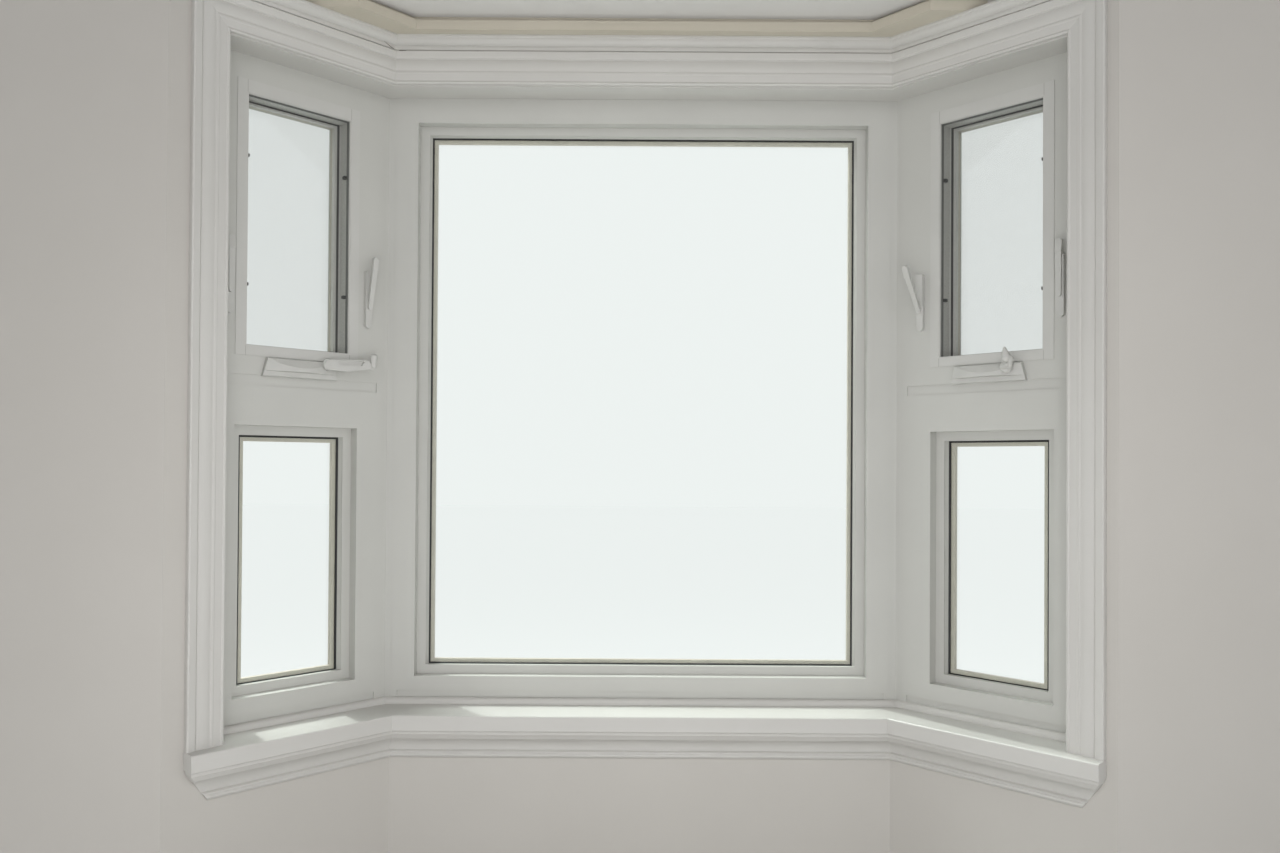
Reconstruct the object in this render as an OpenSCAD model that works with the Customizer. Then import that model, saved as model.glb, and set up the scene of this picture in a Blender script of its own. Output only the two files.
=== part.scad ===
// Three-sided bay window: a wide fixed pane between slanting sides of awning vents over fixed lights.
// X runs along the room wall, +Y points out of the building, Z is up.
// The origin is on the ground, at the middle of the bay's depth.

/* [Bay plan] */
// Inside width of the middle wall face
center_w = 1328; // [1200:1:1600]
// Inside length of each slanting wall face
flank_l = 570; // [560:1:700]
// Length of the window opening along the left slanting face, from the corner
left_opening = 432; // [420:1:440]
// Length of the window opening along the right slanting face, from the corner
right_opening = 455; // [440:1:460]
// Thickness of the outer walls
wall_t = 180; // [175:1:240]
// Width of room wall kept at each side of the bay
stub_w = 383; // [200:1:600]

/* [Heights] */
// Finished floor above the ground
floor_h = 200; // [100:1:600]
// Ceiling above the finished floor
room_h = 2440; // [2420:1:2700]
// Top of the stool above the finished floor
stool_h = 618; // [500:1:640]
// Underside of the head lining above the finished floor
head_h = 2278; // [2250:1:2290]
// Height of the walls above the ceiling
roof_space = 200; // [150:1:400]
// Thickness of the roof deck
roof_t = 60; // [40:1:120]

/* [Trim] */
// Width of the moulded casing
casing_w = 86; // [80:1:100]
// Thickness of the casing at its back edge
casing_t = 19; // [17:1:24]
// Edge of the lining left showing beside the casing
reveal = 4; // [2:1:8]
// Height of the cap moulding above the head casing
cap_h = 35; // [25:1:45]
// Thickness of the lining boards in the opening
lining_t = 14; // [10:1:20]
// Thickness of the stool
stool_t = 42; // [30:1:50]
// Distance the stool stands out past the wall face
stool_out = 50; // [40:1:60]
// Height of the apron moulding under the stool
apron_h = 79; // [60:1:90]
// Distance the apron's top stands out past the wall face
apron_out = 40; // [30:1:46]

/* [Windows] */
// Distance from the inside wall face to the window frames
frame_set = 85; // [70:1:90]
// Depth of the window frames
frame_d = 85; // [80:1:86]
// Width of each face of the corner posts
post_face = 33; // [25:1:50]
// Width of the picture frame's stiles
picture_stile = 47; // [45:1:80]
// Height of the picture frame's head
picture_head = 67; // [60:1:90]
// Height of the picture frame's sill rail
picture_sill = 74; // [60:1:90]
// Width of the clear opening of each vent
vent_w = 271; // [240:1:280]
// Bottom of the clear vent opening above the finished floor
vent_low = 1564; // [1555:1:1580]
// Top of the clear vent opening above the finished floor
vent_high = 2184; // [2100:1:2190]
// Width of the glazing recess of each fixed light
fixed_w = 326; // [280:1:330]
// Bottom of the glazing recess above the finished floor
fixed_low = 695; // [690:1:720]
// Top of the glazing recess above the finished floor
fixed_high = 1366; // [1300:1:1380]

/* [Hidden] */

bay_angle = 45;
mitre = tan(bay_angle / 2);
bay_d = flank_l * sin(bay_angle);
half_w = center_w / 2;
opening_half = half_w + flank_l * cos(bay_angle);
eave_out = 55;
room_y = -(bay_d + wall_t + eave_out) / 2;
corner_y = room_y + bay_d;

floor_z = floor_h;
ceiling_z = floor_z + room_h;
ceiling_t = 30;
stool_z = floor_z + stool_h;
sill_z = stool_z - stool_t;
head_z = floor_z + head_h;
casing_z = head_z + reveal;
cap_z = casing_z + casing_w;
cap_top = cap_z + cap_h;
wall_top = ceiling_z + roof_space;

// The two slanting openings differ a little in length, so what depends on them takes the side:
// -1 for the left and 1 for the right.
function opening_end(side) = side < 0 ? left_opening : right_opening;
function casing_end(side) = opening_end(side) + reveal + casing_w;
function stool_end(side) = casing_end(side) + 1;

// Along a slanting window, x runs from the corner of the frames' inner faces.
shift = mitre * frame_set;
unit_start = post_face;
function unit_x(side) = [unit_start, opening_end(side) + shift];
function unit_mid(side) = (unit_start + opening_end(side) + shift) / 2 + 3;
frame_back = frame_set + frame_d;

// Glazing section shared by all the fixed panes.
recess_d = 32;
bead_w = 24;
bead_d = 19;
glass_t = 20;
glass_lap = 12;
glass_y = recess_d + bead_d;

white = [0.86, 0.86, 0.84];
wall_white = [0.82, 0.80, 0.77];
glass_tint = [0.7, 0.8, 0.8, 0.4];

function arc(center, radius, from, to, steps) =
    [for (i = [0:steps]) let (a = from + (to - from) * i / steps)
        [center[0] + radius * cos(a), center[1] + radius * sin(a)]];

// Plan position of a point beside the right slanting wall face.
function flank_point(along, out) =
    [half_w + (along + out) * cos(bay_angle), corner_y + (out - along) * sin(bay_angle)];

// Outline in plan of a band round the three sides between two distances from the wall face,
// reaching past the openings by the same length at both ends.
function reversed(points) = [for (i = [len(points) - 1:-1:0]) points[i]];
function side_path(side, out, past) =
    [flank_point(opening_end(side) + past, out), [half_w + mitre * out, corner_y + out]];
function flipped(points) = [for (p = reversed(points)) [-p[0], p[1]]];
function bay_path(out, past) = concat(side_path(1, out, past), flipped(side_path(-1, out, past)));
function bay_band(front, back, past) = concat(bay_path(back, past), reversed(bay_path(front, past)));

// Inside of the bay in plan.
bay_floor = [[-opening_half, room_y], [opening_half, room_y], [half_w, corner_y], [-half_w, corner_y]];

module mirrored(side) {
    mirror([side < 0 ? 1 : 0, 0, 0])
        children();
}

// Puts a piece made for the right slanting side in place, with x along the side.
module on_flank(side) {
    mirrored(side)
        translate([half_w, corner_y, 0])
            rotate([0, 0, -bay_angle])
                children();
}

module on_window(side) {
    on_flank(side)
        translate([-shift, frame_set, 0])
            children();
}

// Grows a pair of limits by the same length at both ends, or by one at each.
function grow(pair, by) = [pair[0] - by, pair[1] + by];
function grow_ends(pair, low, high) = [pair[0] - low, pair[1] + high];

// A box with its x, y and z limits given as pairs.
module slab(x, y, z) {
    translate([x[0], y[0], z[0]])
        cube([x[1] - x[0], y[1] - y[0], z[1] - z[0]]);
}

// A straight run of a profile drawn as [y, z], along x.
module run(start, end, profile) {
    translate([start, 0, 0])
        rotate([90, 0, 90])
            linear_extrude(end - start)
                polygon(profile);
}

// Where outlines of pieces that are mitred at the corner begin, well past it.
past_corner = -400;

// A solid with the given outline in x and z, through everything in y.
module elevation(outline) {
    translate([0, 400, 0])
        rotate([90, 0, 0])
            linear_extrude(800)
                polygon(outline);
}

// A run on the middle side, cut to the mitres at both corners.
module center_run(profile) {
    reach = 300;
    intersection() {
        translate([0, corner_y, 0])
            run(-half_w - reach, half_w + reach, profile);
        translate([0, corner_y, 0])
            linear_extrude(wall_top)
                polygon([[-half_w + mitre * reach, -reach], [half_w - mitre * reach, -reach],
                    [half_w + mitre * reach, reach], [-half_w - mitre * reach, reach]]);
    }
}

// A run on a slanting side, cut to the mitre at the middle corner and at the end to
// a square cut, or to the mitre at the room wall.
module flank_run(profile, end, end_mitre = 0) {
    reach = 300;
    intersection() {
        run(-reach, end + reach, profile);
        linear_extrude(wall_top)
            polygon([[mitre * reach, -reach], [end + end_mitre * reach, -reach],
                [end - end_mitre * reach, reach], [-mitre * reach, reach]]);
    }
}

// The section of a plain wall between two heights.
function wall_band(low, high) = [[0, low], [wall_t, low], [wall_t, high], [0, high]];

module floor_deck() {
    color(wall_white)
        linear_extrude(floor_z)
            polygon(bay_floor);
}

module knee_wall_center() {
    color(wall_white)
        center_run(wall_band(0, sill_z));
}

module knee_wall(side) {
    color(wall_white)
        on_flank(side)
            flank_run(wall_band(0, sill_z), flank_l, mitre);
}

module header_center() {
    color(wall_white)
        center_run(wall_band(head_z + lining_t, wall_top));
}

// The slanting header, and the strip of wall beside the opening down to the knee wall.
module header(side) {
    color(wall_white)
        on_flank(side)
            difference() {
                flank_run(wall_band(sill_z, wall_top), flank_l, mitre);
                slab([past_corner, opening_end(side) + lining_t], [-10, wall_t + 10],
                    [sill_z - 10, head_z + lining_t]);
            }
}

module room_wall(side) {
    end_x = opening_half + stub_w;
    color(wall_white)
        mirrored(side)
            linear_extrude(wall_top)
                polygon([[opening_half, room_y], [end_x, room_y], [end_x, room_y + wall_t],
                    [opening_half + mitre * wall_t, room_y + wall_t]]);
}

// Beam over the mouth of the bay, above the ceiling.
module opening_beam() {
    beam_t = 100;
    color(wall_white)
        translate([0, 0, ceiling_z + ceiling_t])
            linear_extrude(wall_top - ceiling_z - ceiling_t)
                polygon([[-opening_half, room_y], [opening_half, room_y],
                    [opening_half - beam_t, room_y + beam_t], [-opening_half + beam_t, room_y + beam_t]]);
}

module ceiling() {
    color(white)
        translate([0, 0, ceiling_z])
            linear_extrude(ceiling_t)
                polygon(bay_floor);
}

// Flat deck with a small eave round the bay, flush with the room wall and its ends.
module roof() {
    end_x = opening_half + stub_w;
    out = wall_t + eave_out;
    color("gray")
        translate([0, 0, wall_top])
            linear_extrude(roof_t)
                polygon([[-end_x, room_y], [end_x, room_y], [end_x, room_y + out],
                    [opening_half + mitre * out, room_y + out], [half_w + mitre * out, corner_y + out],
                    [-half_w - mitre * out, corner_y + out], [-opening_half - mitre * out, room_y + out],
                    [-end_x, room_y + out]]);
}

// Post in the angle between the picture window and a slanting window, with a shallow
// step down its inner edge on both faces.
module corner_post(side) {
    step_w = 15;
    step_d = 2;
    edge = half_w + shift - post_face;
    front = corner_y + frame_set;
    color(white)
        mirrored(side)
            translate([0, 0, stool_z])
                linear_extrude(head_z - stool_z)
                    polygon([[edge, front], [edge + step_w, front], [edge + step_w, front + step_d],
                        [half_w + mitre * (frame_set + step_d), front + step_d],
                        flank_point(step_w - shift, frame_set + step_d),
                        flank_point(step_w - shift, frame_set),
                        flank_point(unit_start - shift, frame_set),
                        flank_point(unit_start - shift, frame_back),
                        [half_w + mitre * frame_back, corner_y + frame_back],
                        [edge, corner_y + frame_back]]);
}

// Outer sill: flat under the frames, then falling outwards to a square nose.
module outer_sill() {
    nose = wall_t + 28;
    fall = 20;
    slope = [[frame_back, stool_z], [nose + 1, stool_z - fall], [nose + 1, stool_z + 50],
        [frame_back, stool_z + 50]];
    color(white)
        difference() {
            translate([0, 0, sill_z])
                linear_extrude(stool_t)
                    polygon(bay_band(frame_set, nose, lining_t));
            for (side = [-1, 1])
                on_flank(side)
                    run(-600, 600, slope);
            translate([0, corner_y, 0])
                run(-900, 900, slope);
        }
}

// Head boards round the three sides, and a board at each end of the opening that is let
// into them and stands a little inside their edges.
module opening_lining() {
    inset = 1;
    let_in = lining_t / 2;
    color(white) {
        translate([0, 0, head_z])
            linear_extrude(lining_t)
                polygon(bay_band(0, wall_t, lining_t));
        for (side = [-1, 1])
            on_flank(side)
                slab([opening_end(side), opening_end(side) + lining_t - inset], [inset, wall_t - inset],
                    [stool_z, head_z + let_in]);
    }
}

// Stool with softened front edges and a small bead along the foot of the frames.
edge_r = 4;
foot_h = 16;
foot_d = 13;
stool_profile = concat([[frame_set, sill_z]],
    arc([edge_r - stool_out, sill_z + edge_r], edge_r, 270, 180, 4),
    arc([edge_r - stool_out, stool_z - edge_r], edge_r, 180, 90, 4),
    [[frame_set - foot_d, stool_z], [frame_set - foot_d, stool_z + 4]],
    arc([frame_set, stool_z + 4], foot_d, 180, 90, 5),
    [[frame_set, stool_z + foot_h]]);

module stool_center() {
    color(white)
        center_run(stool_profile);
}

// Past the opening, only the horn in front of the wall runs on to the stool's end.
module stool(side) {
    color(white)
        on_flank(side)
            difference() {
                flank_run(stool_profile, stool_end(side));
                slab([opening_end(side), flank_l], [0, wall_t], [sill_z - 1, stool_z + foot_h + 1]);
            }
}

// Apron: a leaning moulding with a fillet, a hollow and a bead at its foot.
apron_profile = concat([[0, sill_z], [-apron_out, sill_z]],
    [[-apron_out, sill_z - 9], [-apron_out + 3, sill_z - 11]],
    arc([-apron_out - 8, sill_z - apron_h + 14], 46, 66, 8, 8),
    [[-9, sill_z - apron_h + 17]],
    arc([-8, sill_z - apron_h + 9], 5, 110, 250, 6),
    [[-5, sill_z - apron_h], [0, sill_z - apron_h]]);

module apron_center() {
    color(white)
        center_run(apron_profile);
}

// The end is cut on a slant, back from the stool's end to the foot.
module apron(side) {
    foot_z = sill_z - apron_h;
    top_x = stool_end(side) - 4;
    foot_x = stool_end(side) - 53;
    outline = [[past_corner, sill_z], [past_corner, foot_z], [foot_x, foot_z],
        [top_x, sill_z - 9], [top_x, sill_z]];
    color(white)
        on_flank(side)
            intersection() {
                flank_run(apron_profile, stool_end(side));
                elevation(outline);
            }
}

// Section of the casing as [distance from its inner edge, thickness]: an edge bead, a quirk,
// a slow rise to a fillet, a wide low swelling and a thick band at the back.
casing_profile = concat([[0, 0]],
    arc([4, 7.5], 4, 180, 55, 6),
    [[8.5, 9.6], [10.5, 9.8], [25, 11.4], [27, 12.4], [31, 12.4], [32.5, 11.6], [35, 11.6]],
    arc([49, -36], 50, 106, 74, 8),
    [[63.5, 11.6], [65, 12.6]],
    arc([69, 12.6], 4, 180, 100, 4),
    [[casing_w - 4, casing_t]],
    arc([casing_w - 4, casing_t - 4], 4, 80, 0, 4),
    [[casing_w, 0]]);

// Upright casing, cut at 45 degrees where it meets the head casing.
module side_casing(side) {
    start = opening_end(side) + reveal;
    end = casing_end(side);
    color(white)
        on_flank(side)
            intersection() {
                translate([start, 0, stool_z])
                    linear_extrude(cap_z - stool_z)
                        polygon([for (p = casing_profile) [p[0], -p[1]]]);
                elevation([[start, stool_z], [end, stool_z], [end, cap_z], [start, casing_z]]);
            }
}

// Cap moulding above the head casing: its face rolls back from a square top edge.
cap_out = 36;
cap_face = concat([[-cap_out, cap_top], [-cap_out, cap_top - 5], [-cap_out + 2, cap_top - 7]],
    arc([-casing_t + 2, cap_z + 27], 16.5, 182, 262, 8),
    [[-casing_t - 1, cap_z + 7], [-casing_t - 1, cap_z]]);

// The casing and its cap are one section, drawn as [y, z] from the cap's top down to the inner edge.
casing_face = [for (i = [1:len(casing_profile) - 2]) casing_profile[i]];
head_profile = concat([[0, cap_top]], cap_face,
    reversed([for (p = casing_face) [-p[1], casing_z + p[0]]]),
    [[0, casing_z]]);

module head_casing_center() {
    color(white)
        center_run(head_profile);
}

// The end is mitred to the upright casing, and the cap returns round its top.
module head_casing(side) {
    end = casing_end(side);
    outline = concat([[past_corner, cap_top]],
        [for (p = cap_face) [end - casing_t - p[0], p[1]]],
        [[end, cap_z], [opening_end(side) + reveal, casing_z], [past_corner, casing_z]]);
    color(white)
        on_flank(side)
            intersection() {
                flank_run(head_profile, flank_l);
                elevation(outline);
            }
}

// Dropped ledge between the cap and the ceiling. Its ends are parallel to the room wall,
// and its lip has a small step below the ceiling.
module ceiling_ledge() {
    front = 64;
    front_x = 592;
    end_x = 708;
    end_y = corner_y - 185;
    wall_x = half_w + corner_y - end_y;
    step = 12;
    right_edge = [[front_x, corner_y - front], [end_x, end_y]];
    right_lip = [[front_x + step, corner_y - front + step], [end_x + step, end_y + step]];
    module tray(edge, wall, low, high) {
        outline = concat([[half_w, corner_y]], [wall], reversed(edge));
        translate([0, 0, low])
            linear_extrude(high - low)
                polygon(concat(outline, flipped(outline)));
    }
    color(white) {
        tray(right_edge, [wall_x, end_y], cap_top, ceiling_z - step);
        tray(right_lip, [wall_x - step, end_y + step], ceiling_z - step, ceiling_z);
    }
}

// Cuts a fixed pane's seat: the recess down to the bead's face, the step to the glass,
// the slot that holds the glass, and the opening behind it.
module glazing_cut(x, z) {
    slab(x, [-10, recess_d], z);
    slab(grow(x, -bead_w), [0, frame_d + 10], grow(z, -bead_w));
    slab(grow(x, glass_lap - bead_w), [glass_y, glass_y + glass_t], grow(z, glass_lap - bead_w));
}

module glazing(x, z) {
    color(glass_tint)
        slab(grow(x, glass_lap - bead_w), [glass_y, glass_y + glass_t], grow(z, glass_lap - bead_w));
}

picture_edge = half_w + shift - post_face;
picture_x = [-picture_edge + picture_stile, picture_edge - picture_stile];
picture_z = [stool_z + picture_sill, head_z - picture_head];

// The cut along the foot of the frames, just above the stool's bead.
foot_cut_d = 4;
foot_cut_z = [stool_z + foot_h, stool_z + 2 * foot_h + 2];

module picture_frame() {
    color(white)
        translate([0, corner_y + frame_set, 0])
            difference() {
                slab([-picture_edge, picture_edge], [0, frame_d], [stool_z, head_z]);
                glazing_cut(picture_x, picture_z);
                slab([-picture_edge - 1, picture_edge + 1], [-1, foot_cut_d], foot_cut_z);
            }
}

module picture_glass() {
    translate([0, corner_y + frame_set, 0])
        glazing(picture_x, picture_z);
}

mull_low = floor_z + 1465;
mull_high = floor_z + 1491;
function vent_x(side) = [unit_mid(side) - vent_w / 2, unit_mid(side) + vent_w / 2];
vent_z = [floor_z + vent_low, floor_z + vent_high];
screen_side = 28;
screen_head = 34;
screen_foot = 26;
screen_t = 7;
sash_y = 50;
sash_d = 34;
sash_lap = 20;
sash_show = 18;
sash_z = grow_ends(vent_z, -6, -8);
sash_glass = [64, 80];

// The screen's outline: its stiles, head and foot have widths of their own.
function screen_x(side) = grow(vent_x(side), screen_side);
screen_z = grow_ends(vent_z, screen_foot, screen_head);

// Frame of the awning vent, with a seat for the screen, a stop and a rebate for the sash.
module vent_frame(side) {
    color(white)
        on_window(side)
            difference() {
                slab(unit_x(side), [0, frame_d], [mull_high, head_z]);
                slab(vent_x(side), [-10, frame_d + 10], vent_z);
                slab(screen_x(side), [-10, screen_t - 2], screen_z);
                slab(grow(vent_x(side), sash_lap), [sash_y, frame_d + 10], grow(vent_z, sash_lap));
            }
}

// Screen frame, standing a little proud of the vent frame, with a thin step round its opening.
module screen_frame(side) {
    step_w = 3;
    step_d = 1.5;
    color(white)
        on_window(side)
            difference() {
                slab(screen_x(side), [-2, screen_t - 2], screen_z);
                slab(vent_x(side), [-10, 10], vent_z);
                slab(grow(vent_x(side), step_w), [-10, step_d - 2], grow(vent_z, step_w));
            }
}

// Sash of the vent: a rim behind the frame's stop, and a slot that holds the glass.
module vent_sash(side) {
    rim = sash_lap - 2;
    color(white)
        on_window(side)
            difference() {
                slab(grow(vent_x(side), rim), [sash_y, sash_y + sash_d], grow(vent_z, rim));
                slab(grow(vent_x(side), -sash_show), [0, frame_d + 10], sash_z);
                slab(vent_x(side), sash_glass, vent_z);
            }
}

module vent_glass(side) {
    color(glass_tint)
        on_window(side)
            slab(vent_x(side), sash_glass, vent_z);
}

function fixed_x(side) = [unit_mid(side) - fixed_w / 2, unit_mid(side) + fixed_w / 2];
fixed_z = [floor_z + fixed_low, floor_z + fixed_high];

// Frame of the fixed light, with the mull strip between it and the vent.
module fixed_frame(side) {
    mull_cut = 3;
    color(white)
        on_window(side)
            difference() {
                slab(unit_x(side), [0, frame_d], [stool_z, mull_high]);
                glazing_cut(fixed_x(side), fixed_z);
                slab(grow(unit_x(side), 1), [-1, mull_cut], [mull_low, mull_high + 1]);
                slab(grow(unit_x(side), 1), [-1, foot_cut_d], foot_cut_z);
            }
}

module fixed_glass(side) {
    on_window(side)
        glazing(fixed_x(side), fixed_z);
}

operator_low = floor_z + 1489;
operator_high = floor_z + 1536;
operator_w = 198;
operator_t = 28;
function hub_x(side) = side < 0 ? -65 : 58;
function hub_z(side) = floor_z + (side < 0 ? 1527 : 1522);

// Operator cover: a bowed front with sloping ends, and a lip over a hollow along its foot.
module operator(side) {
    taper = 12;
    cheek_d = 14;
    bow_r = 320;
    lip_z = operator_low + 15;
    hollow_d = 12;
    half = operator_w / 2;
    bow = asin(half / bow_r);
    middle = bow_r - operator_t;
    plan = concat([[half, 0], [half, -cheek_d]],
        arc([0, middle], bow_r, 270 + bow, 270 - bow, 16),
        [[-half, -cheek_d], [-half, 0]]);
    section = [[0, operator_low], [0, operator_high], [-12, operator_high - 1], [-17, operator_high - 4],
        [-operator_t, lip_z + 9], [-operator_t, lip_z], [-hollow_d, lip_z - 2],
        [-hollow_d, operator_low + 2], [-hollow_d + 3, operator_low]];
    color(white)
        on_window(side)
            translate([unit_mid(side), 0, 0])
                difference() {
                    intersection() {
                        translate([0, 0, operator_low])
                            linear_extrude(operator_high - operator_low)
                                polygon(plan);
                        run(-half, half, section);
                        elevation([[-half, operator_low], [half, operator_low],
                            [half - taper, operator_high], [taper - half, operator_high]]);
                    }
                    translate([hub_x(side), 1, hub_z(side)])
                        rotate([90, 0, 0])
                            cylinder(h = 60, d = 10, $fn = 32);
                }
}

hub_r = 15;
hub_t = 11;

// Spindle through the operator's cover, with the crank's rounded hub on its end.
module hub() {
    edge = 4;
    rotate([90, 0, 0])
        cylinder(h = operator_t + hub_t - edge, d = 10, $fn = 32);
    translate([0, -operator_t, 0])
        rotate([90, 0, 0]) {
            cylinder(h = hub_t - edge, r = hub_r, $fn = 32);
            translate([0, 0, hub_t - edge])
                cylinder(h = edge, r1 = hub_r, r2 = hub_r - edge, $fn = 32);
        }
}

// A disc of the crank's arm, facing the room.
module arm_disc(x, z, r, h) {
    translate([x, -operator_t, z])
        rotate([90, 0, 0])
            cylinder(h = h, r = r, $fn = 32);
}

// Crank folded along the rail: a deep arm with a hollow along its upper half, and a knob
// that turns up at its end.
module crank_folded() {
    arm_t = 12;
    knob_x = 124;
    hub();
    difference() {
        union() {
            hull() {
                arm_disc(0, 0, hub_r - 2, arm_t - 2);
                arm_disc(46, 1, 16, arm_t);
            }
            hull() {
                arm_disc(46, 1, 16, arm_t);
                arm_disc(102, 6, 13, arm_t);
            }
        }
        translate([0, 6 - arm_t, 0])
            hull() {
                arm_disc(30, 8, 7, arm_t);
                arm_disc(92, 10, 6, arm_t);
            }
    }
    hull() {
        arm_disc(100, 4, 9, arm_t);
        arm_disc(knob_x, 3, 8, arm_t);
    }
    translate([knob_x, 1 - operator_t - arm_t, 0])
        cylinder(h = 32, r1 = 7, r2 = 10, $fn = 32);
    translate([knob_x, 1 - operator_t - arm_t, 32])
        cylinder(h = 5, r1 = 10, r2 = 6, $fn = 32);
}

// Crank turned out into the room: its arm curls up to a drop-shaped knob.
module crank_raised() {
    curl = [[-8, -34, 0], [13, -41, 4], [17, -45, 20]];
    hub();
    for (i = [1:len(curl) - 1])
        hull() {
            translate(curl[i - 1])
                sphere(r = 7, $fn = 24);
            translate(curl[i])
                sphere(r = 7, $fn = 24);
        }
    hull() {
        translate([7, -47, 22])
            sphere(r = 12, $fn = 24);
        translate([4, -50, 45])
            sphere(r = 4, $fn = 24);
    }
}

// Seen from the room, both cranks have their spindle to the right of the vent's middle.
module crank(side) {
    color(white)
        on_window(side)
            translate([unit_mid(side) + hub_x(side), 0, hub_z(side)])
                if (side < 0)
                    mirror([1, 0, 0])
                        crank_folded();
                else
                    crank_raised();
}

// One cam lock on each stile of the vent frame: a long base with a round foot, and a lever
// with a grip above it. The lever of the lock nearer to the corner leans out into the room.
lock_corner_x = 190;
lock_outer_x = 181;
lock_z = floor_z + 1636;
lock_w = 21;

module cam_lock(lean) {
    base_t = 16;
    base_l = 152;
    pivot_z = 56;
    neck_l = base_l - pivot_z + 4;
    grip_l = 34;
    hull() {
        translate([0, 0, lock_w / 2])
            rotate([90, 0, 0])
                cylinder(h = base_t - 5, r = lock_w / 2 - 1, $fn = 32);
        translate([-lock_w / 2, -base_t, base_l - 20])
            cube([lock_w, base_t, 20]);
    }
    translate([0, 3 - base_t, pivot_z])
        rotate([lean, 0, 0]) {
            hull() {
                rotate([90, 0, 0])
                    cylinder(h = 7, r = 6, $fn = 32);
                translate([-7, -9, neck_l - 4])
                    cube([14, 9, 4]);
            }
            hull() {
                translate([-8, -11, neck_l])
                    cube([16, 12, 4]);
                translate([0, 1, neck_l + grip_l - 8])
                    rotate([90, 0, 0])
                        cylinder(h = 9, r = 8, $fn = 32);
            }
        }
}

module cam_locks(side) {
    corner_lean = side < 0 ? 12 : 34;
    color(white)
        on_window(side) {
            translate([unit_mid(side) - lock_corner_x, 0, lock_z])
                cam_lock(corner_lean);
            translate([unit_mid(side) + lock_outer_x, 0, lock_z])
                cam_lock(0);
        }
}

floor_deck();
knee_wall(-1);  // knee_wall_left
knee_wall_center();
knee_wall(1);  // knee_wall_right
room_wall(-1);  // room_wall_left
room_wall(1);  // room_wall_right
header(-1);  // header_left
header_center();
header(1);  // header_right
opening_beam();
ceiling();
roof();
corner_post(-1);  // corner_post_left
corner_post(1);  // corner_post_right
outer_sill();
opening_lining();
stool(-1);  // stool_left
stool_center();
stool(1);  // stool_right
apron(-1);  // apron_left
apron_center();
apron(1);  // apron_right
side_casing(-1);  // side_casing_left
side_casing(1);  // side_casing_right
head_casing(-1);  // head_casing_left
head_casing_center();
head_casing(1);  // head_casing_right
ceiling_ledge();
picture_frame();
picture_glass();
vent_frame(-1);  // vent_frame_left
vent_sash(-1);  // vent_sash_left
vent_glass(-1);  // vent_glass_left
screen_frame(-1);  // screen_frame_left
fixed_frame(-1);  // fixed_frame_left
fixed_glass(-1);  // fixed_glass_left
operator(-1);  // operator_left
crank(-1);  // crank_left
cam_locks(-1);  // cam_locks_left
vent_frame(1);  // vent_frame_right
vent_sash(1);  // vent_sash_right
vent_glass(1);  // vent_glass_right
screen_frame(1);  // screen_frame_right
fixed_frame(1);  // fixed_frame_right
fixed_glass(1);  // fixed_glass_right
operator(1);  // operator_right
crank(1);  // crank_right
cam_locks(1);  // cam_locks_right
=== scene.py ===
import math

import bmesh
import bpy
from mathutils import Matrix, Vector


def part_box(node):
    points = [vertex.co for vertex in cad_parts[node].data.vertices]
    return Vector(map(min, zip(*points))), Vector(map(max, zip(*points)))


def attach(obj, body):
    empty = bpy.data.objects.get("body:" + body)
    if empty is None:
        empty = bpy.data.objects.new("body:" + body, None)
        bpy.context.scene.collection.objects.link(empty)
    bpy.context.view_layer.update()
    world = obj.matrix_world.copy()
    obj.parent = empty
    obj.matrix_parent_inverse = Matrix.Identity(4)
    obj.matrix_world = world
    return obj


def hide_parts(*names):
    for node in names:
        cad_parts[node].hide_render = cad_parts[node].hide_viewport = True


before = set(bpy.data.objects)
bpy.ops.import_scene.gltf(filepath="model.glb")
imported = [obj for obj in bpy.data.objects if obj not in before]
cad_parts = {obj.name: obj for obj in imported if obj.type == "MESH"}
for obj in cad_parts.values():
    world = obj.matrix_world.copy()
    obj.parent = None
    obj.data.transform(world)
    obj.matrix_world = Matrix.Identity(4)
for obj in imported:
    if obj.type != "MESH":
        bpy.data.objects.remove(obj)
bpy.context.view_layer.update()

MM = 0.001
QUARTER = math.pi / 4
SIDES = ("left", "right")


# Camera, set up as the photograph was taken

PHOTO_W = 1280
PHOTO_H = 853
FOCAL_PX = 960
SENSOR_MM = 36
EYE_FROM_PANE_WALL = 2.550
EYE_ABOVE_GROUND = 1.478
PITCH_UP = math.radians(0.54)
ROLL = math.radians(0.356)
AXIS_X_PX = 641.5
AXIS_Y_PX = 454
NEAREST_SEEN = 0.02

PANE_WALL_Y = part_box("knee_wall_center")[0].y


def place_camera():
    data = bpy.data.cameras.new("photo_camera")
    camera = bpy.data.objects.new("photo_camera", data)
    bpy.context.scene.collection.objects.link(camera)
    data.sensor_width = SENSOR_MM
    data.lens = FOCAL_PX * SENSOR_MM / PHOTO_W
    data.shift_x = (PHOTO_W / 2 - AXIS_X_PX) / PHOTO_W
    data.shift_y = (AXIS_Y_PX - PHOTO_H / 2) / PHOTO_W
    data.clip_start = NEAREST_SEEN
    eye = Vector((0, PANE_WALL_Y - EYE_FROM_PANE_WALL, EYE_ABOVE_GROUND))
    tilt = Matrix.Rotation(math.pi / 2 + PITCH_UP, 4, "X")
    camera.matrix_world = Matrix.Translation(eye) @ tilt @ Matrix.Rotation(ROLL, 4, "Z")
    bpy.context.scene.camera = camera


# Shader node helpers

def math_node(tree, operation, a, b):
    """A Math node, whose inputs are sockets or plain numbers."""
    node = tree.nodes.new("ShaderNodeMath")
    node.operation = operation
    for socket, value in zip(node.inputs, (a, b)):
        if isinstance(value, (int, float)):
            socket.default_value = value
        else:
            tree.links.new(value, socket)
    return node.outputs[0]


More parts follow.
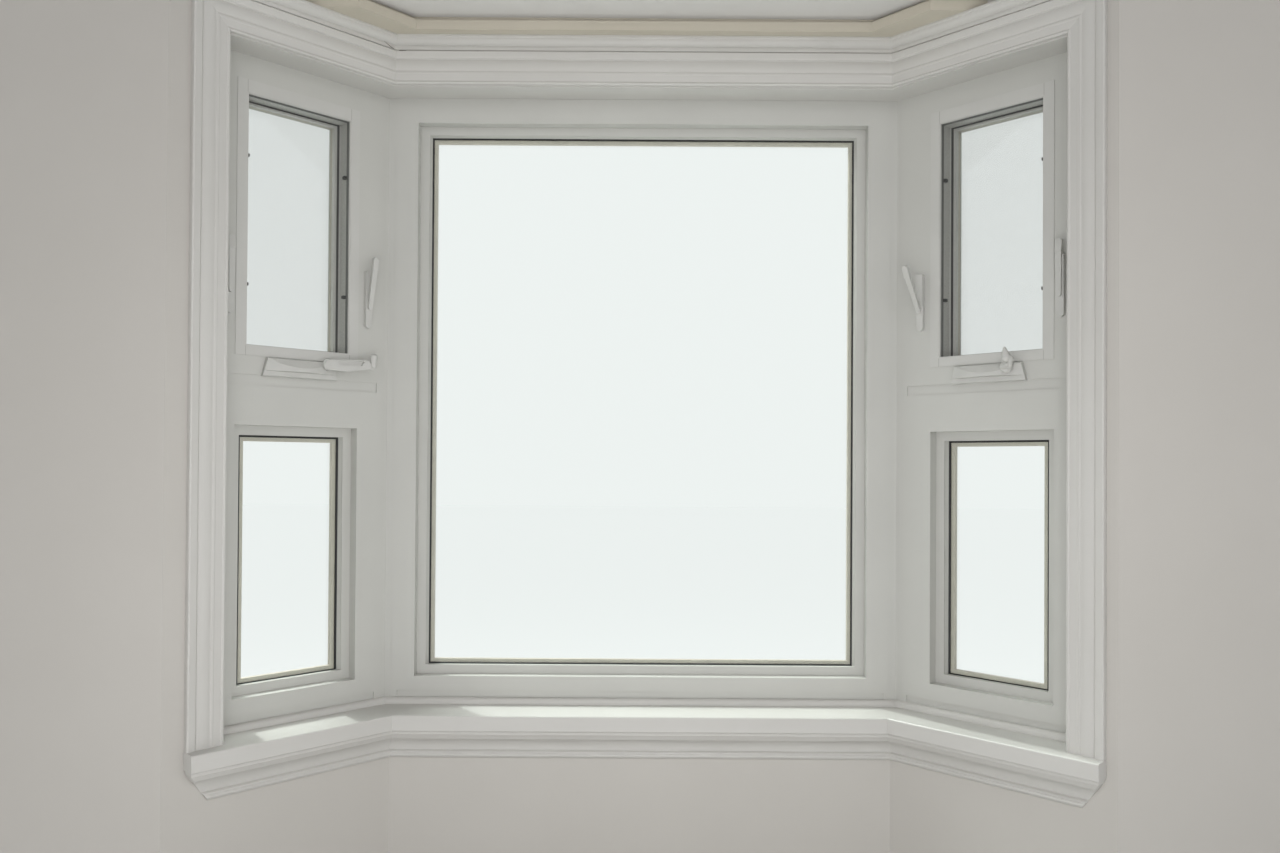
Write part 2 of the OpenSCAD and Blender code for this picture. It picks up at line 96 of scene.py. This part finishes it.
def blend_colours(tree, factor, first, second):
    """A blend of two colours, each a socket or a plain colour, by a socket's value."""
    node = tree.nodes.new("ShaderNodeMix")
    node.data_type = "RGBA"
    tree.links.new(factor, node.inputs["Factor"])
    for socket, colour in ((node.inputs["A"], first), (node.inputs["B"], second)):
        if isinstance(colour, tuple):
            socket.default_value = colour
        else:
            tree.links.new(colour, socket)
    return node.outputs["Result"]


NOISE_ROUGHNESS = 0.55


def noise(tree, place, scale, detail):
    """A noise texture at a place, whose scale is a socket or a plain number."""
    node = tree.nodes.new("ShaderNodeTexNoise")
    node.inputs["Detail"].default_value = detail
    node.inputs["Roughness"].default_value = NOISE_ROUGHNESS
    tree.links.new(place, node.inputs["Vector"])
    if isinstance(scale, (int, float)):
        node.inputs["Scale"].default_value = scale
    else:
        tree.links.new(scale, node.inputs["Scale"])
    return node.outputs["Fac"]


def is_seen_ray(tree):
    """A value of 1 where the camera sees a surface directly, by reflection or through glass."""
    path = tree.nodes.new("ShaderNodeLightPath").outputs
    direct = math_node(tree, "MAXIMUM", path["Is Camera Ray"], path["Is Glossy Ray"])
    return math_node(tree, "MAXIMUM", direct, path["Is Transmission Ray"])


# Studio: backdrop, floor and lamps

BACKDROP = (0.90, 0.91, 0.91)
WORLD_LIGHT = (1.0, 1.0, 1.0)
WORLD_STRENGTH = 0.27
FLOOR_HALF = 30
FLOOR_ROUGHNESS = 0.9
FLOOR_COLOUR = (0.64, 0.64, 0.63)
FLOOR_SEEN_COLOUR = (0.10, 0.10, 0.10)
FLOOR_GLOW = (0.80, 0.81, 0.81)

# Each lamp: its place, the point it shines at, its width and height, and its watts
LAMPS = {
    "room_high": ((0.3, -3.6, 3.2), (0, 0, 1.5), (3.5, 1.6), 24),
    "room_near": ((0, -1.7, 1.25), (0, 0.4, 1.1), (1.4, 0.9), 15),
    "room_right": ((3.2, -2.4, 1.7), (-0.4, 0, 1.4), (2.0, 2.0), 14),
    "room_left": ((-3.2, -2.4, 1.7), (0.4, 0, 1.4), (2.0, 2.0), 7),
    "sky_light": ((-1.2, 1.9, 4.6), (0, 0, 0.9), (4.5, 2.4), 260),
    "garden_light": ((0.4, 4.6, 2.2), (0, 0, 1.4), (5.0, 2.6), 15)}
SUN_TRAVEL = (0.342, -0.404, -0.848)
SUN_STRENGTH = 2.2
SUN_ANGLE = 0.03


def light_world():
    world = bpy.data.worlds.new("studio")
    bpy.context.scene.world = world
    world.use_nodes = True
    tree = world.node_tree
    tree.nodes.clear()
    lamp = tree.nodes.new("ShaderNodeBackground")
    lamp.inputs["Color"].default_value = (*WORLD_LIGHT, 1)
    lamp.inputs["Strength"].default_value = WORLD_STRENGTH
    shown = tree.nodes.new("ShaderNodeBackground")
    shown.inputs["Color"].default_value = (*BACKDROP, 1)
    mix = tree.nodes.new("ShaderNodeMixShader")
    out = tree.nodes.new("ShaderNodeOutputWorld")
    tree.links.new(is_seen_ray(tree), mix.inputs["Fac"])
    tree.links.new(lamp.outputs[0], mix.inputs[1])
    tree.links.new(shown.outputs[0], mix.inputs[2])
    tree.links.new(mix.outputs[0], out.inputs["Surface"])


def add_floor():
    mesh = bpy.data.meshes.new("floor")
    corners = [(x * FLOOR_HALF, y * FLOOR_HALF, 0) for x, y in ((-1, -1), (1, -1), (1, 1), (-1, 1))]
    mesh.from_pydata(corners, [], [(0, 1, 2, 3)])
    floor = bpy.data.objects.new("floor", mesh)
    bpy.context.scene.collection.objects.link(floor)
    material = bpy.data.materials.new("studio_floor")
    material.use_nodes = True
    tree = material.node_tree
    shader = tree.nodes["Principled BSDF"]
    seen = is_seen_ray(tree)
    colour = blend_colours(tree, seen, (*FLOOR_COLOUR, 1), (*FLOOR_SEEN_COLOUR, 1))
    tree.links.new(colour, shader.inputs["Base Color"])
    shader.inputs["Roughness"].default_value = FLOOR_ROUGHNESS
    shader.inputs["Specular IOR Level"].default_value = 0.0
    shader.inputs["Emission Color"].default_value = (*FLOOR_GLOW, 1)
    tree.links.new(seen, shader.inputs["Emission Strength"])
    mesh.materials.append(material)


def add_lamp(name, place, target, size, watts):
    data = bpy.data.lights.new(name, "AREA")
    data.shape = "RECTANGLE"
    data.size, data.size_y = size
    data.energy = watts
    lamp = bpy.data.objects.new(name, data)
    lamp.location = place
    aim = Vector(target) - Vector(place)
    lamp.rotation_euler = aim.to_track_quat("-Z", "Y").to_euler()
    lamp.visible_camera = False
    lamp.visible_glossy = False
    lamp.visible_transmission = False
    bpy.context.scene.collection.objects.link(lamp)


def add_sun():
    """A weak sun, for the bright patches on the stool."""
    data = bpy.data.lights.new("weak_sun", "SUN")
    data.energy = SUN_STRENGTH
    data.angle = SUN_ANGLE
    sun = bpy.data.objects.new("weak_sun", data)
    sun.rotation_euler = Vector(SUN_TRAVEL).to_track_quat("-Z", "Y").to_euler()
    bpy.context.scene.collection.objects.link(sun)


def light_bay():
    for name, (place, target, size, watts) in LAMPS.items():
        add_lamp(name, place, target, size, watts)
    add_sun()


# Finishes

def new_group(name, inputs, outputs):
    """A shader node group with its named sockets, and the nodes at its two ends."""
    group = bpy.data.node_groups.new(name, "ShaderNodeTree")
    for label, kind, value in inputs:
        socket = group.interface.new_socket(label, in_out="INPUT", socket_type=kind)
        socket.default_value = value
    for label, kind in outputs:
        group.interface.new_socket(label, in_out="OUTPUT", socket_type=kind)
    return group, group.nodes.new("NodeGroupInput"), group.nodes.new("NodeGroupOutput")


DRIFT_DETAIL = 4.0
DRIFT_RANGE = (0.35, 0.65)
MARK_DETAIL = 2.0
DUST_SCALE = 9.0
DUST_DETAIL = 4.0
DUST_COLOUR = (0.4, 0.38, 0.34)


def paint_film_group():
    """Painted surface: slow drift between two tones, a fine stipple or brush marks, and a patchy gloss.
    Marks stretches the fine texture along an axis of the object, after Turn."""
    group, start, end = new_group(
        "paint_film",
        [("Colour", "NodeSocketColor", (0.6, 0.6, 0.6, 1)),
         ("Second Colour", "NodeSocketColor", (0.5, 0.5, 0.5, 1)),
         ("Drift Scale", "NodeSocketFloat", 2.0),
         ("Mark Scale", "NodeSocketFloat", 300.0),
         ("Marks", "NodeSocketVector", (1, 1, 1)),
         ("Turn", "NodeSocketVector", (0, 0, 0)),
         ("Lowest Roughness", "NodeSocketFloat", 0.4),
         ("Highest Roughness", "NodeSocketFloat", 0.55)],
        [("Colour", "NodeSocketColor"), ("Roughness", "NodeSocketFloat"), ("Height", "NodeSocketFloat")])
    place = group.nodes.new("ShaderNodeTexCoord").outputs["Object"]
    drift = noise(group, place, start.outputs["Drift Scale"], DRIFT_DETAIL)
    spread = group.nodes.new("ShaderNodeMapRange")
    spread.inputs["From Min"].default_value, spread.inputs["From Max"].default_value = DRIFT_RANGE
    group.links.new(drift, spread.inputs["Value"])
    colour = blend_colours(group, spread.outputs[0], start.outputs["Colour"], start.outputs["Second Colour"])
    turned = group.nodes.new("ShaderNodeMapping")
    group.links.new(place, turned.inputs["Vector"])
    group.links.new(start.outputs["Turn"], turned.inputs["Rotation"])
    stretched = group.nodes.new("ShaderNodeVectorMath")
    stretched.operation = "MULTIPLY"
    group.links.new(turned.outputs[0], stretched.inputs[0])
    group.links.new(start.outputs["Marks"], stretched.inputs[1])
    marks = noise(group, stretched.outputs[0], start.outputs["Mark Scale"], MARK_DETAIL)
    patchy = group.nodes.new("ShaderNodeMapRange")
    group.links.new(marks, patchy.inputs["Value"])
    group.links.new(start.outputs["Lowest Roughness"], patchy.inputs["To Min"])
    group.links.new(start.outputs["Highest Roughness"], patchy.inputs["To Max"])
    group.links.new(colour, end.inputs["Colour"])
    group.links.new(patchy.outputs[0], end.inputs["Roughness"])
    group.links.new(marks, end.inputs["Height"])
    return group


def dust_group():
    """Thin dust on faces that look up, broken up by a slow noise."""
    group, start, end = new_group(
        "settled_dust",
        [("Colour", "NodeSocketColor", (0.6, 0.6, 0.6, 1)),
         ("Dust", "NodeSocketColor", (*DUST_COLOUR, 1)),
         ("Amount", "NodeSocketFloat", 0.15)],
        [("Colour", "NodeSocketColor")])
    up = group.nodes.new("ShaderNodeSeparateXYZ")
    group.links.new(group.nodes.new("ShaderNodeNewGeometry").outputs["Normal"], up.inputs[0])
    place = group.nodes.new("ShaderNodeTexCoord").outputs["Object"]
    facing = math_node(group, "MAXIMUM", up.outputs["Z"], 0.0)
    patchy = math_node(group, "MULTIPLY", facing, noise(group, place, DUST_SCALE, DUST_DETAIL))
    factor = math_node(group, "MULTIPLY", patchy, start.outputs["Amount"])
    dusty = blend_colours(group, factor, start.outputs["Colour"], start.outputs["Dust"])
    group.links.new(dusty, end.inputs["Colour"])
    return group


PAINT_FILM = paint_film_group()
SETTLED_DUST = dust_group()


def place_group(tree, group, **values):
    node = tree.nodes.new("ShaderNodeGroup")
    node.node_tree = group
    for label, value in values.items():
        node.inputs[label.replace("_", " ")].default_value = value
    return node


def painted(name, colour, second, drift, mark, rough, relief_mm, along=(1, 1, 1), turn=0.0,
            dust=0.0, coat=0.0):
    """A painted or moulded finish from the shared paint film and dust groups: its two tones, the scale
    of the drift between them and of its fine marks, its lowest and highest roughness, and its relief."""
    material = bpy.data.materials.new(name)
    material.use_nodes = True
    tree = material.node_tree
    shader = tree.nodes["Principled BSDF"]
    lowest, highest = rough
    film = place_group(tree, PAINT_FILM, Colour=(*colour, 1), Second_Colour=(*second, 1),
                       Drift_Scale=drift, Mark_Scale=mark, Marks=along, Turn=(0, 0, turn),
                       Lowest_Roughness=lowest, Highest_Roughness=highest)
    dusty = place_group(tree, SETTLED_DUST, Amount=dust)
    bump = tree.nodes.new("ShaderNodeBump")
    bump.inputs["Distance"].default_value = relief_mm * MM
    tree.links.new(film.outputs["Colour"], dusty.inputs["Colour"])
    tree.links.new(dusty.outputs["Colour"], shader.inputs["Base Color"])
    tree.links.new(film.outputs["Roughness"], shader.inputs["Roughness"])
    tree.links.new(film.outputs["Height"], bump.inputs["Height"])
    tree.links.new(bump.outputs[0], shader.inputs["Normal"])
    shader.inputs["Coat Weight"].default_value = coat
    return material


GLASS_TINT = (0.97, 0.99, 0.98)
GLASS_IOR = 1.5
LIGHT_THROUGH_GLASS = (0.95, 0.97, 0.96)


def clear_glass(name):
    """Clear glass that lets light through as well as sight."""
    material = bpy.data.materials.new(name)
    material.use_nodes = True
    tree = material.node_tree
    shader = tree.nodes["Principled BSDF"]
    shader.inputs["Base Color"].default_value = (*GLASS_TINT, 1)
    shader.inputs["Roughness"].default_value = 0.0
    shader.inputs["IOR"].default_value = GLASS_IOR
    shader.inputs["Transmission Weight"].default_value = 1.0
    clear = tree.nodes.new("ShaderNodeBsdfTransparent")
    clear.inputs["Color"].default_value = (*LIGHT_THROUGH_GLASS, 1)
    path = tree.nodes.new("ShaderNodeLightPath").outputs
    lighting = math_node(tree, "MAXIMUM", path["Is Shadow Ray"], path["Is Diffuse Ray"])
    mix = tree.nodes.new("ShaderNodeMixShader")
    tree.links.new(lighting, mix.inputs["Fac"])
    tree.links.new(shader.outputs[0], mix.inputs[1])
    tree.links.new(clear.outputs[0], mix.inputs[2])
    tree.links.new(mix.outputs[0], tree.nodes["Material Output"].inputs["Surface"])
    return material


ALONG_X = (0.04, 1, 1)
ALONG_Z = (1, 1, 0.04)


def trim_paint(run, along, turn=0.0, dust=0.0):
    """Painted wood, with brush marks along the run of the board."""
    return painted("trim_paint_" + run, (0.54, 0.529, 0.506), (0.523, 0.511, 0.487),
                   drift=3.0, mark=700, rough=(0.32, 0.5), relief_mm=0.05,
                   along=along, turn=turn, dust=dust, coat=0.1)


WALL_PAINT = painted("wall_paint", (0.508, 0.488, 0.458), (0.488, 0.468, 0.438),
                     drift=1.6, mark=900, rough=(0.75, 0.9), relief_mm=0.12)
# The ceiling's white paint, made lighter as painted light for the light from below that its downward face
# misses.
CEILING_PAINT_AND_LIGHT = painted("ceiling_paint_and_light", (0.62, 0.606, 0.59), (0.60, 0.586, 0.57),
                        drift=1.6, mark=700, rough=(0.85, 0.95), relief_mm=0.15)
# The ledge's beige paint, made lighter as painted light for the light that falls short on its faces.
LEDGE_PAINT_AND_LIGHT = painted("ledge_paint_and_light", (0.53, 0.492, 0.414), (0.51, 0.472, 0.396),
                      drift=1.6, mark=900, rough=(0.75, 0.9), relief_mm=0.12)
TRIM = {
    "center": trim_paint("center", ALONG_X, dust=0.3),
    "left": trim_paint("left", ALONG_X, turn=-QUARTER, dust=0.3),
    "right": trim_paint("right", ALONG_X, turn=QUARTER, dust=0.3),
    "upright": trim_paint("upright", ALONG_Z)}
VINYL = painted("white_vinyl", (0.508, 0.505, 0.477), (0.494, 0.491, 0.464),
                drift=5.0, mark=1400, rough=(0.28, 0.4), relief_mm=0.015, dust=0.2)
SCREEN_METAL = painted("screen_frame_enamel", (0.53, 0.525, 0.502), (0.512, 0.507, 0.484),
                       drift=8.0, mark=1500, rough=(0.35, 0.45), relief_mm=0.01)
HARDWARE = painted("hardware_enamel", (0.515, 0.51, 0.487), (0.497, 0.492, 0.469),
                   drift=30.0, mark=2000, rough=(0.25, 0.38), relief_mm=0.01, coat=0.3)
ROOF_METAL = painted("roof_deck", (0.30, 0.30, 0.295), (0.26, 0.26, 0.255),
                     drift=2.0, mark=160, rough=(0.5, 0.75), relief_mm=0.4, dust=0.5)
OUTER_SILL = painted("outer_sill_paint", (0.62, 0.61, 0.58), (0.56, 0.55, 0.52),
                     drift=4.0, mark=500, rough=(0.4, 0.6), relief_mm=0.1, along=ALONG_X, dust=0.8)
RUBBER = painted("black_gasket", (0.012, 0.012, 0.012), (0.02, 0.02, 0.02),
                 drift=20.0, mark=1500, rough=(0.45, 0.6), relief_mm=0.02)
# Dark grey painted shade for the slot behind each insect screen's seat.
SLOT_SHADE_GREY = painted("grey_slot_shade", (0.13, 0.13, 0.122), (0.11, 0.11, 0.104),
                    drift=20.0, mark=1500, rough=(0.5, 0.65), relief_mm=0.02)
WIRE_GREY = painted("screen_wire", (0.20, 0.20, 0.19), (0.18, 0.18, 0.172),
                    drift=20.0, mark=1500, rough=(0.5, 0.65), relief_mm=0.0)
SPACER = painted("spacer_strip", (0.50, 0.46, 0.38), (0.46, 0.42, 0.35),
                 drift=20.0, mark=900, rough=(0.35, 0.5), relief_mm=0.02)
# Near-black painted shade for the open crack between the casing and its cap.
CRACK_SHADE = painted("crack_shade", (0.10, 0.09, 0.075), (0.14, 0.125, 0.105),
                      drift=60.0, mark=900, rough=(0.8, 0.95), relief_mm=0.0)
JOINT_SHADE = painted("joint_shade", (0.30, 0.295, 0.27), (0.26, 0.255, 0.235),
                      drift=20.0, mark=900, rough=(0.7, 0.9), relief_mm=0.0)
GLASS = clear_glass("window_glass")


def dress(material, *nodes):
    for name in nodes:
        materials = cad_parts[name].data.materials
        materials.clear()
        materials.append(material)


def dress_frame():
    dress(WALL_PAINT, "floor_deck", "knee_wall_center", "header_center", "opening_beam")
    dress(CEILING_PAINT_AND_LIGHT, "ceiling")
    dress(ROOF_METAL, "roof")
    dress(OUTER_SILL, "outer_sill")
    dress(LEDGE_PAINT_AND_LIGHT, "ceiling_ledge")
    dress(TRIM["center"], "stool_center", "apron_center", "head_casing_center", "opening_lining")
    dress(VINYL, "picture_frame")
    for side in SIDES:
        dress(WALL_PAINT, "knee_wall_" + side, "header_" + side, "room_wall_" + side)
        dress(TRIM[side], "stool_" + side, "apron_" + side, "head_casing_" + side)
        dress(TRIM["upright"], "side_casing_" + side)
        dress(VINYL, "corner_post_" + side, "vent_frame_" + side, "vent_sash_" + side, "fixed_frame_" + side)
        dress(SCREEN_METAL, "screen_frame_" + side)
        dress(HARDWARE, "operator_" + side, "crank_" + side, "cam_locks_" + side)


# Window planes: x runs along the window from its corner, y outward, z up

HALF_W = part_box("apron_center")[1].x
FRAME_FACE_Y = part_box("picture_frame")[0].y
FRAME_SET = FRAME_FACE_Y - PANE_WALL_Y
CORNER_SHIFT = math.tan(QUARTER / 2) * FRAME_SET

PICTURE_PLANE = Matrix.Translation((0, FRAME_FACE_Y, 0))


def side_plane(sign):
    """Matrix from a slanting window's own axes to the model's; sign is -1 on the left."""
    flip = Matrix.Diagonal((sign, 1, 1, 1))
    corner = Matrix.Translation((HALF_W, PANE_WALL_Y, 0))
    set_back = Matrix.Translation((-CORNER_SHIFT, FRAME_SET, 0))
    return flip @ corner @ Matrix.Rotation(-QUARTER, 4, "Z") @ set_back


SIDE_PLANES = {"left": side_plane(-1), "right": side_plane(1)}


def local_box(node, plane):
    """A node's lowest and highest corners in a window's own axes."""
    back = plane.inverted()
    points = [back @ v.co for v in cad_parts[node].data.vertices]
    low = Vector([min(p[i] for p in points) for i in range(3)])
    high = Vector([max(p[i] for p in points) for i in range(3)])
    return low, high


# Mesh helpers

def add_piece(name, shape, material, plane=Matrix.Identity(4)):
    """Turns a bmesh into a named piece that rides on the bay."""
    shape.transform(plane)
    bmesh.ops.recalc_face_normals(shape, faces=shape.faces)
    mesh = bpy.data.meshes.new(name)
    shape.to_mesh(mesh)
    shape.free()
    piece = bpy.data.objects.new(name, mesh)
    bpy.context.scene.collection.objects.link(piece)
    mesh.materials.append(material)
    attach(piece, "root")
    return piece


def join_loops(shape, near, far):
    """Four faces between two loops of four corners."""
    for i in range(4):
        j = (i + 1) % 4
        shape.faces.new((near[i], near[j], far[j], far[i]))


def add_rims(shape, low, high, rims):
    """Joins rectangles one after another into a closed ring. A rim says how far it lies inside the
    rectangle from low to high, at the sides, the foot and the head, and gives its y."""
    loops = []
    for (side, foot, head), y in rims:
        left, right = low.x + side, high.x - side
        bottom, top = low.z + foot, high.z - head
        corners = ((left, bottom), (right, bottom), (right, top), (left, top))
        loops.append([shape.verts.new((x, y, z)) for x, z in corners])
    for near, far in zip(loops, loops[1:] + loops[:1]):
        join_loops(shape, near, far)


def add_bar(shape, low, high):
    """A rectangular bar between two corners."""
    points = [(x, y, z) for x in (low[0], high[0]) for y in (low[1], high[1]) for z in (low[2], high[2])]
    verts = [shape.verts.new(p) for p in points]
    for a, b, c, d in ((0, 1, 3, 2), (4, 6, 7, 5), (0, 4, 5, 1), (2, 3, 7, 6), (0, 2, 6, 4), (1, 5, 7, 3)):
        shape.faces.new((verts[a], verts[b], verts[c], verts[d]))


# Glazing: two sheets with a spacer strip between them, and a gasket against the bead.
# Widths with three values are those at the sides, the foot and the head.

SHEET_T = 4 * MM
SHEET_BEVEL = 0.6 * MM
SPACER_GAP = 0.2 * MM
GLASS_GAP = 0.1 * MM
BEAD_LIP = 3 * MM
BEAD_RISE = 15 * MM
GASKET_PROUD = 3.5 * MM
GASKET_FOOT = 1 * MM
GASKET_ROUND = 1.2 * MM
GASKET_SLOPE = 0.6 * MM
LET_IN = (-3 * MM, -3 * MM, -3 * MM)
BEAD_START = (-0.2 * MM, -0.2 * MM, -0.2 * MM)

GLASS_TUCK = (12 * MM, 12 * MM, 12 * MM)
VENT_TUCK = (18 * MM, 6 * MM, 8 * MM)
NO_BEAD = (0, 0, 0)
PICTURE_BEAD = (5.5 * MM, 0, 2.5 * MM)
PICTURE_GASKET_W = 4 * MM
PICTURE_SPACER_W = 9 * MM
FIXED_BEAD = (5 * MM, -2.5 * MM, 0)
FIXED_GASKET_W = 5 * MM
FIXED_SPACER_W = 10 * MM


def widened(edges, by):
    """Widths at the sides, foot and head, all made wider by the same length."""
    return tuple(width + by for width in edges)


def glass_sheets(low, high):
    """The two sheets of a sealed unit, with their edges bevelled."""
    sheets = bmesh.new()
    corners = ((low.x, low.z, 1, 1), (high.x, low.z, -1, 1), (high.x, high.z, -1, -1), (low.x, high.z, 1, -1))
    for front in (low.y, high.y - SHEET_T):
        back = front + SHEET_T
        section = ((SHEET_BEVEL, front), (0, front + SHEET_BEVEL),
                   (0, back - SHEET_BEVEL), (SHEET_BEVEL, back))
        loops = [[sheets.verts.new((x + dx * inset, y, z + dz * inset)) for x, z, dx, dz in corners]
                 for inset, y in section]
        for near, far in zip(loops, loops[1:]):
            join_loops(sheets, near, far)
        sheets.faces.new(loops[0])
        sheets.faces.new(reversed(loops[-1]))
    return sheets


def glaze(name, node, plane, tuck, bead, gasket_w, spacer_w):
    """Replaces a glass node by its two sheets, with a bead, gasket and spacer strip along its edges.
    Tuck is how far the glass runs on under its frame, and bead how far the bead stands past it."""
    low, high = local_box(node, plane)
    panes = add_piece(name + "_panes", glass_sheets(low, high), GLASS, plane)
    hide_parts(node)

    side, foot, head = tuck
    sight = (low + Vector((side, 0, foot)), high - Vector((side, 0, head)))
    front = low.y
    at_glass = front - GLASS_GAP
    inner = widened(bead, gasket_w)
    shown = widened(inner, spacer_w)
    near = low.y + SHEET_T + SPACER_GAP
    far = high.y - SHEET_T - SPACER_GAP
    strip = bmesh.new()
    add_rims(strip, *sight, [(LET_IN, near), (shown, near), (shown, far), (LET_IN, far)])
    add_piece(name + "_spacer", strip, SPACER, plane)

    if max(bead) > 0:
        slope = bmesh.new()
        add_rims(slope, *sight, [(LET_IN, at_glass), (bead, at_glass), (bead, front - BEAD_LIP),
                                 (BEAD_START, front - BEAD_RISE), (LET_IN, front - BEAD_RISE)])
        add_piece(name + "_bead", slope, VINYL, plane)

    if gasket_w > 0:
        lip = bmesh.new()
        top = front - GASKET_PROUD
        rounded = widened(inner, -GASKET_ROUND)
        add_rims(lip, *sight, [(LET_IN, at_glass), (inner, at_glass), (inner, front - GASKET_FOOT),
                               (rounded, top + GASKET_SLOPE), (bead, top), (LET_IN, top)])
        add_piece(name + "_gasket", lip, RUBBER, plane)


def glaze_all():
    glaze("picture", "picture_glass", PICTURE_PLANE, GLASS_TUCK, PICTURE_BEAD,
          PICTURE_GASKET_W, PICTURE_SPACER_W)
    for side, plane in SIDE_PLANES.items():
        glaze("fixed_" + side, "fixed_glass_" + side, plane, GLASS_TUCK, FIXED_BEAD,
              FIXED_GASKET_W, FIXED_SPACER_W)
        glaze("vent_" + side, "vent_glass_" + side, plane, VENT_TUCK, NO_BEAD, 0, 0)


# Insect screens: a fine square mesh in each screen frame, with a dark grey ring of painted shade in the slot
# and small clips in the reveal behind it. The black strips on the sashes, weatherstrip with painted shade in
# the gap beside the frame's stop, and the lines at the frames' joints are here too.

WIRE_STEP = 1.6 * MM
WIRE_T = 0.13 * MM
MESH_Y = 2 * MM
SLOT_SHADE_Y = (5 * MM, 15 * MM)
SLOT_SHADE_T = 1.2 * MM
STRIP_PROUD = 1.2 * MM
STRIP_LET_IN = 0.5 * MM
STRIP_SIDE = (5 * MM, 11 * MM)
STRIP_HEAD = (0.2 * MM, 4 * MM)
CLIP_Y = (12 * MM, 24 * MM)
CLIP_H = 8 * MM
CLIP_OUT = 9 * MM
CLIP_BEVEL = 0.8 * MM
CLIP_HEIGHTS = (1.716, 2.036)
JOINT_W = 0.9 * MM
JOINT_BESIDE = 3 * MM
JOINT_PROUD = 0.1 * MM
JOINT_LET_IN = 0.2 * MM


def vent_opening(side, plane):
    """The clear opening of a vent, which its glass fills."""
    return local_box("vent_glass_" + side, plane)


def screen_wires(side, plane):
    low, high = vent_opening(side, plane)
    wires = bmesh.new()
    for i in range(1, int((high.x - low.x) / WIRE_STEP)):
        x = low.x + i * WIRE_STEP
        add_bar(wires, (x, MESH_Y, low.z), (x + WIRE_T, MESH_Y + WIRE_T, high.z))
    for i in range(1, int((high.z - low.z) / WIRE_STEP)):
        z = low.z + i * WIRE_STEP
        add_bar(wires, (low.x, MESH_Y + WIRE_T, z), (high.x, MESH_Y + 2 * WIRE_T, z + WIRE_T))
    add_piece("screen_mesh_" + side, wires, WIRE_GREY, plane)


# A dark grey ring of painted shade in the slot behind the screen's seat.
def screen_slot_shade(side, plane):
    low, high = vent_opening(side, plane)
    shade_ring = bmesh.new()
    front, back = SLOT_SHADE_Y
    outside = (0, 0, 0)
    inside = (SLOT_SHADE_T, SLOT_SHADE_T, SLOT_SHADE_T)
    add_rims(shade_ring, low, high, [(outside, front), (inside, front), (inside, back), (outside, back)])
    add_piece("screen_slot_shade_" + side, shade_ring, SLOT_SHADE_GREY, plane)


def vent_weatherstrip_and_gap_shade(side, plane):
    """Black strip on the front of the sash, beside the frame's stop at both sides and the head. It stands for
    the weatherstrip together with painted shade in the gap between the stop and the sash.
    """
    low, high = vent_opening(side, plane)
    face = local_box("vent_sash_" + side, plane)[0].y
    front = face - STRIP_PROUD
    back = face + STRIP_LET_IN
    near, far = STRIP_SIDE
    strips = bmesh.new()
    add_bar(strips, (low.x + near, front, low.z), (low.x + far, back, high.z))
    add_bar(strips, (high.x - far, front, low.z), (high.x - near, back, high.z))
    near_head, far_head = STRIP_HEAD
    add_bar(strips, (low.x + far, front, high.z - far_head), (high.x - far, back, high.z - near_head))
    add_piece("vent_weatherstrip_and_gap_shade_" + side, strips, RUBBER, plane)


def screen_clips(side, plane):
    low, high = vent_opening(side, plane)
    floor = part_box("floor_deck")[1].z
    front, back = CLIP_Y
    clips = bmesh.new()
    for height in CLIP_HEIGHTS:
        bottom = floor + height - CLIP_H / 2
        top = floor + height + CLIP_H / 2
        add_bar(clips, (low.x, front, bottom), (low.x + CLIP_OUT, back, top))
        add_bar(clips, (high.x - CLIP_OUT, front, bottom), (high.x, back, top))
    bmesh.ops.bevel(clips, geom=clips.edges[:], offset=CLIP_BEVEL, segments=2, affect="EDGES")
    add_piece("screen_clips_" + side, clips, RUBBER, plane)


def screen_joints(side, plane):
    """Fine lines where the screen's head and foot butt against its stiles."""
    outer_low, outer_high = local_box("screen_frame_" + side, plane)
    low, high = vent_opening(side, plane)
    front = outer_low.y - JOINT_PROUD
    back = outer_low.y + JOINT_LET_IN
    lines = bmesh.new()
    for x in (low.x - JOINT_BESIDE, high.x + JOINT_BESIDE):
        for bottom, top in ((outer_low.z, low.z - JOINT_BESIDE), (high.z + JOINT_BESIDE, outer_high.z)):
            add_bar(lines, (x - JOINT_W / 2, front, bottom), (x + JOINT_W / 2, back, top))
    add_piece("screen_joints_" + side, lines, JOINT_SHADE, plane)


# The joint between the casing and its cap has opened a little at the left corner, and a thin near-black
# strip of painted shade fills the open crack. Along each run, a point gives in millimetres its x, how far
# out from the casing's face it lies, its height above the foot of the cap, and the crack's width.

CASING_T = 19 * MM
CASING_FACE_Y = PANE_WALL_Y - CASING_T
CAP_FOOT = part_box("side_casing_left")[1].z
CRACK_PROUD = 0.4 * MM
CRACK_DEPTH = 1.5 * MM
CRACK_RUNS = (
    ((-680, 27.5, 11.5, 0.3), (-673, 18, 6, 1.8), (-666.5, 12, 2.2, 2.4), (-660, 5.5, 0.4, 1)),
    ((-649, 0.4, -2.2, 0.5), (-643, 0.4, -2.4, 1.6), (-636, 0.4, -2.2, 1.1), (-629, 0.4, -2.4, 0.4)))


def paint_crack_shade():
    crack = bmesh.new()
    for run in CRACK_RUNS:
        sections = []
        for along, out, up, width in run:
            y = CASING_FACE_Y - out * MM
            z = CAP_FOOT + up * MM
            half = width * MM / 2
            front, back = y - CRACK_PROUD, y + CRACK_DEPTH
            outline = ((front, z + half), (front, z - half), (back, z - half), (back, z + half))
            sections.append([crack.verts.new((along * MM, *point)) for point in outline])
        for near, far in zip(sections, sections[1:]):
            join_loops(crack, near, far)
        crack.faces.new(sections[0])
        crack.faces.new(reversed(sections[-1]))
    add_piece("casing_crack_shade", crack, CRACK_SHADE)


def build():
    dress_frame()
    glaze_all()
    paint_crack_shade()
    for side, plane in SIDE_PLANES.items():
        screen_wires(side, plane)
        screen_slot_shade(side, plane)
        vent_weatherstrip_and_gap_shade(side, plane)
        screen_clips(side, plane)
        screen_joints(side, plane)


place_camera()
light_world()
add_floor()
light_bay()
bpy.context.scene.view_settings.view_transform = "Standard"

build()
